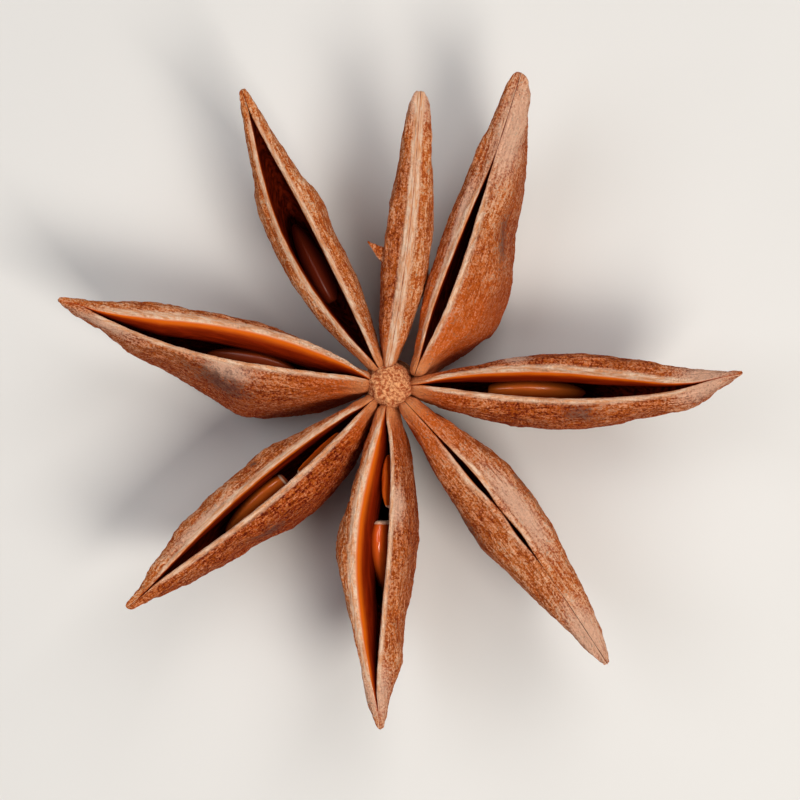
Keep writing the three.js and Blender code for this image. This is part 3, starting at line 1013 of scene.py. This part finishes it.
def wrinkle(piece, layers, patch, slant=0):
    """Subdivides a piece, pushes it by layers from a patch of the textures, and marks it."""
    subdivide = piece.modifiers.new("detail", "SUBSURF")
    subdivide.levels = subdivide.render_levels = DETAIL
    make_real(piece, subdivide)
    before = read_points(piece)
    outward = read_vectors(piece.data.vertices, "normal")
    for texture, size, height, group in layers:
        push(piece, texture, size, height, group, patch, slant)
        patch += NEXT_PATCH
    moved = ((read_points(piece) - before) * outward).sum(axis=1) / MM
    mark(piece, "relief", moved)
    print(piece.name, "relief", moved.min().round(2), "to", moved.max().round(2), "mm")


# %% [markdown]
# ## Placing a follicle
#
# Each follicle lies along +X until it is finished. Then it is turned to its azimuth
# about the column's axis, and the turn is applied, so that its place is in its mesh and
# its object stays at the origin, as the export wants it.


# %% Settle a piece
def settle(piece, azimuth=0.0, place=AXIS):
    """Turns a piece about +Z, moves it, and leaves both in its mesh."""
    deselect()
    piece.select_set(True)
    bpy.context.view_layer.objects.active = piece
    piece.rotation_euler = (0, 0, math.radians(azimuth))
    piece.location = place
    bpy.ops.object.transform_apply(location=True, rotation=True, scale=True)
    bpy.ops.object.shade_smooth()


def hand_over(piece, node):
    """Lets a piece ride on the pod and stand for a solid, which it hides."""
    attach(piece, "root")
    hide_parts(node)


# %% Tint the rind
TONE_SEAM = 0.6
TIP_PALENESS = 0.45
EMBER_FADE = 0.6


def spots_on(piece, spots):
    """1 in the middle of each of the spots, and 0 away from all of them."""
    places = read_skin(piece)
    total = np.zeros(len(places))
    for middle, reach in spots:
        away = np.linalg.norm((places - np.array(middle)) / np.array(reach), axis=1)
        total = np.maximum(total, np.exp(-(away ** 2)))
    return total


def tone_on(piece, follicle):
    """How pale the rind is: one tone on each side, and paler towards the beak."""
    places = read_skin(piece)
    plus, minus = follicle["tone"]
    side = np.clip(places[:, 1] / TONE_SEAM + 0.5, 0, 1)
    towards_tip = np.clip(places[:, 0] / follicle["length"] * 2 - 1, 0, 1)
    return minus + (plus - minus) * side + TIP_PALENESS * towards_tip


def ember_on(piece, reach):
    """How orange the rind is: wholly near the column, and no more at the reach, in mm."""
    return np.clip((reach - read_skin(piece)[:, 0]) / (EMBER_FADE * reach), 0, 1)


# %% Make the eight follicles
def wear_flat(piece):
    """Keeps a keel above the surface that the pod rests on."""
    points = read_points(piece)
    points[:, 2] = np.maximum(points[:, 2], 0)
    piece.data.vertices.foreach_set("co", points.ravel())
    piece.data.update()


PATCH_STEP = 11.0
face_count = 0
for number, (name, follicle) in enumerate(FOLLICLES.items()):
    piece = extrude_follicle(f"follicle_{name}", follicle)
    paint_parts(piece)
    wrinkle(piece, RIND_RELIEF, PATCH_STEP * number, follicle["grain"])
    mark(piece, "tone", tone_on(piece, follicle))
    mark(piece, "scuff", spots_on(piece, follicle["scuffs"]))
    mark(piece, "bloom", spots_on(piece, follicle["blooms"]))
    mark(piece, "ember", ember_on(piece, follicle["ember"]))
    # How much painted light falls on the lining under the lip; with little, the lining stays in
    # painted shade.
    mark(piece, "lining_light", follicle["lining_light"])
    settle(piece, follicle["azimuth"])
    wear_flat(piece)
    hand_over(piece, "pod")
    face_count += len(piece.data.polygons)
print("follicles:", len(FOLLICLES), "with", face_count, "faces")

# %% [markdown]
# ## A thorn and two flaps
#
# Shreds show where the rind tore. A thorn of rind stands off the northern follicle's
# flank: a cone with its foot in the rind, flattened, and bent a little at its point. In
# two of the mouths a thin flap of lining leans against the wall beside the seed's blunt
# end, where the seed hung. It is a blade, so a ring of six points is extruded along it.

# %% Thorn
THORN_SIDES = 12
THORN_WIDE = 0.62
THORN_THICK = 0.3
THORN_POINT = 0.04
THORN_BEND = 0.25
THORN_RELIEF = [(WRINKLES, (0.8, 0.4), 0.1, "rind")]


def make_thorn(name, follicle):
    foot = place_at(follicle, *follicle["thorn"]["foot"])
    reach = place_at(follicle, *follicle["thorn"]["tip"]) - foot
    deselect()
    bpy.ops.mesh.primitive_cone_add(
        vertices=THORN_SIDES, radius1=MM, radius2=THORN_POINT * MM, depth=reach.length,
    )
    piece = named(name)
    start_editing()
    bpy.ops.mesh.subdivide(number_cuts=2)
    bpy.ops.transform.resize(value=(THORN_WIDE, THORN_THICK, 1), center_override=(0, 0, 0))
    bpy.ops.transform.translate(value=(0, 0, reach.length / 2))
    bpy.ops.object.mode_set(mode="OBJECT")
    for point in piece.data.vertices:
        point.co.x += THORN_BEND * MM * (point.co.z / reach.length) ** 2
    piece.vertex_groups.new(name="rind").add(range(len(piece.data.vertices)), 1, "ADD")
    piece.data.materials.append(rind.material)
    upward = reach.normalized()
    sideways = Vector((1, 0, 0)) - upward * upward.x
    sideways.normalize()
    turn = Matrix((sideways, upward.cross(sideways), upward)).transposed().to_4x4()
    piece.data.transform(Matrix.Translation(foot) @ turn)
    wrinkle(piece, THORN_RELIEF, patch=4.0)
    # It is finished like the rind just outside a lip.
    mark_skin(piece)
    mark(piece, "around", 0.55)
    mark(piece, "tone", 0.45)
    settle(piece, follicle["azimuth"])
    hand_over(piece, "pod")


make_thorn("thorn_north", FOLLICLES["north"])

# %% Flaps
FLAP_IN = 0.52
FLAP_OUT = 0.22
FLAP_TOP = 0.6
FLAP_FOOT = 2.1
FLAP_THICK = 0.5
FLAP_CORNERS = 6
FLAP_ROWS = 9
# How much painted light the flap's top gets, as the lining's roll does.
FLAP_LIGHT = 0.6
FLAP_RELIEF = [(GRAINS, (0.6, 0.3), 0.08, None)]


def flap_section(follicle, along, share):
    """Six points round a blade that leans against the wall under the lip."""
    width = follicle["flap"][2]
    wall = half_width(follicle, along) - WALL / 2
    top = FLAP_TOP + (1 - fade(share * 0.8 + 0.1, 0.5)) * FLAP_THICK
    outer = mouth_at(follicle, along, 1) - FLAP_OUT
    inner = outer - (FLAP_IN - FLAP_OUT) * blend(0.25, width, fade(share, 0.5))
    return [
        (inner, top + 0.05),
        (inner + 0.05, top + 0.35),
        (wall, FLAP_FOOT),
        (wall, FLAP_FOOT - FLAP_THICK),
        (outer, top + 0.2),
        (blend(inner, outer, 0.6), top - 0.12),
    ]


def extrude_flap(name, follicle):
    piece = add_ring(name, FLAP_CORNERS, ACROSS_X)
    start, end, _ = follicle["flap"]
    start_editing()
    for row in range(FLAP_ROWS):
        share = row / (FLAP_ROWS - 1)
        along = blend(start, end, share)
        if row:
            extrude_last_ring(piece, FLAP_CORNERS)
        shape = bmesh.from_edit_mesh(piece.data)
        shape.verts.ensure_lookup_table()
        places = flap_section(follicle, along, share)
        for point, (side, fall) in zip(shape.verts[-FLAP_CORNERS:], places):
            point.co = place_at(follicle, along, side, fall)
        if row == 0:
            bpy.ops.mesh.edge_face_add()
        bmesh.update_edit_mesh(piece.data)
    close_up()
    return piece


# %% Finish the flaps
for name in ("south", "southwest"):
    follicle = FOLLICLES[name]
    piece = extrude_flap(f"flap_{name}", follicle)
    piece.data.materials.append(lining.material)
    wrinkle(piece, FLAP_RELIEF, patch=7.0)
    # Like the lining, it gets painted light at its top and painted shade lower down, and its
    # outer end is torn and pale.
    points = mark_skin(piece)
    below_top = LIP_HEIGHT - LIP_SAG - points[:, 2] - FLAP_TOP
    mark(piece, "around", np.clip(0.45 - 0.14 * below_top, 0.28, 0.42))
    mark(piece, "lining_light", FLAP_LIGHT)
    outward = points[:, 0] / (follicle["length"] * follicle["flap"][1])
    mark(piece, "lip_edge", np.clip((outward - 0.94) / 0.04, 0, 0.8))
    settle(piece, follicle["azimuth"])
    hand_over(piece, "pod")

# %% [markdown]
# ## Column
#
# The carpels meet in a short column. Its top is a low pale dome, a little lobed where
# the follicles join it, and underneath it ends in the scar of the stalk: a raised ring
# round a dark hollow. It is a lathe form, so a circle is extruded down its profile.

# %% Column
COLUMN_SIDES = 32
LOBE_REACH = math.radians(13)
LOBE_GROWTH = 0.2
BETWEEN_LOBES = 0.86
SCAR_TOP = 3.2
SCAR_RADIUS = 1.15

# Radius and height in mm, from the middle of the top down to the hollow of the scar.
COLUMN_PROFILE = [
    (0.45, 8.3), (0.85, 8.26), (1.12, 8.14), (1.32, 7.85), (1.4, 7.2),
    (1.42, 5.6), (1.45, 4.1), (1.6, 2.8), (1.75, 2.35), (1.62, 2.12),
    (1.5, 2.1), (1.28, 2.12), (1.12, 2.4), (0.7, 2.52), (0.3, 2.6),
]
COLUMN_RELIEF = [
    (DENTS, (1.0, 1.0), 0.16, None),
    (WRINKLES, (0.5, 0.5), 0.12, None),
    (GRAINS, (0.3, 0.3), 0.08, None),
]


def lobe(angle):
    """1 in line with a follicle and 0 between two of them."""
    azimuths = [math.radians(follicle["azimuth"]) for follicle in FOLLICLES.values()]
    turns = [math.remainder(angle - azimuth, 2 * math.pi) for azimuth in azimuths]
    return max(math.exp(-((turn / LOBE_REACH) ** 2)) for turn in turns)


def extrude_column():
    piece = add_ring("column", COLUMN_SIDES)
    start_editing()
    reach, height = COLUMN_PROFILE[0]
    bpy.ops.transform.resize(value=(reach, reach, 1), center_override=(0, 0, 0))
    bpy.ops.transform.translate(value=(0, 0, height * MM))
    bpy.ops.mesh.edge_face_add()
    for next_reach, next_height in COLUMN_PROFILE[1:]:
        extrude_last_ring(piece, COLUMN_SIDES)
        factor = next_reach / reach
        bpy.ops.transform.resize(value=(factor, factor, 1), center_override=(0, 0, 0))
        bpy.ops.transform.translate(value=(0, 0, (next_height - height) * MM))
        reach, height = next_reach, next_height
    close_up()
    return piece


# %% Finish the column
column = extrude_column()
for point in column.data.vertices:
    if point.co.z > 0.9 * LIP_HEIGHT * MM and point.co.xy.length > 0.8 * MM:
        point.co.xy *= BETWEEN_LOBES + LOBE_GROWTH * lobe(math.atan2(point.co.y, point.co.x))
column.data.materials.append(cork_end.material)
wrinkle(column, COLUMN_RELIEF, patch=5.0)
points = read_points(column) / MM
inside_scar = (points[:, 2] < SCAR_TOP) & (np.hypot(points[:, 0], points[:, 1]) < SCAR_RADIUS)
mark(column, "shade", inside_scar)
settle(column)
hand_over(column, "pod")
print("column top at", round(points[:, 2].max(), 2), "mm")

# %% [markdown]
# ## Seeds
#
# A seed is a flat egg with a hard glossy coat. It stands on its narrow edge in the
# hollow, with its blunt end towards the column, where a pale scar marks its stalk. A
# sphere is squeezed flat, its outer end is tapered, its inner end is cut off upright, and
# a low ridge is raised round its edge, where the two halves of the coat meet.

# %% Shape a seed
SEED_TAPER = 0.14
SEED_BLUNT = 0.9
RIDGE_HEIGHT = 0.05
RIDGE_START = 0.97
LIT_EDGE_SHARE = 0.24
SCAR_END = 0.26
SCAR_FADE = 0.16
SEED_RELIEF = [(DENTS, (2.0, 1.2), 0.06, None)]


def make_seed(name, seed):
    deselect()
    bpy.ops.mesh.primitive_uv_sphere_add(
        segments=24, ring_count=16, radius=MM, rotation=(0, -math.pi / 2, 0),
    )
    piece = named(name)
    half_length = seed["long"] / 2
    slope = math.tan(math.radians(seed["pitch"]))
    for point in piece.data.vertices:
        fuller = 1 - SEED_TAPER * point.co.x / MM
        edge = abs(point.co.z) / max(point.co.yz.length, 1e-9)
        ridge = 1 + RIDGE_HEIGHT * clamp01((edge - RIDGE_START) / (1 - RIDGE_START))
        point.co.y *= fuller * seed["thick"] / 2
        point.co.z *= fuller * ridge * seed["high"] / 2
        cut = -SEED_BLUNT * half_length * MM - point.co.z * slope
        point.co.x = max(point.co.x * half_length, cut)
    piece.data.materials.append(seed_coat.material)
    wrinkle(piece, SEED_RELIEF, patch=2.0)
    points = read_points(piece) / MM
    from_cut = points[:, 0] + points[:, 2] * slope + SEED_BLUNT * half_length
    mark(piece, "hilum", seed["scar"] * np.clip((SCAR_END - from_cut) / SCAR_FADE, 0, 1))
    # Painted light round the narrow edge and painted shade on the flat sides: 1 at the mid-plane,
    # less towards the sides.
    mark(piece, "ridge", np.exp(-((points[:, 1] / (LIT_EDGE_SHARE * seed["thick"])) ** 2)))
    # How much painted shade lies on this seed.
    mark(piece, "dark", seed["dark"])
    # How much painted light lies on this seed.
    mark(piece, "light", seed["light"])
    return piece


# %% Lay the seeds in their follicles
def place_seed(piece, follicle):
    seed = follicle["seed"]
    centre = place_at(follicle, seed["along"], seed["side"], seed["fall"])
    upright = Matrix.Rotation(-lean_at(follicle, seed["along"]), 4, "X")
    pitched = Matrix.Rotation(math.radians(seed["pitch"]), 4, "Y")
    piece.data.transform(Matrix.Translation(centre) @ upright @ pitched)
    settle(piece, follicle["azimuth"])


for name, follicle in FOLLICLES.items():
    if "seed" in follicle:
        piece = make_seed(f"seed_coat_{name}", follicle["seed"])
        place_seed(piece, follicle)
        hand_over(piece, f"seed_{name}")
        low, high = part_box(f"seed_{name}")
        ours = read_points(piece)
        gaps = np.array([ours.min(0) - np.array(low), ours.max(0) - np.array(high)]) / MM
        print(name, "seed against its solid, in mm:", gaps.round(2).tolist())
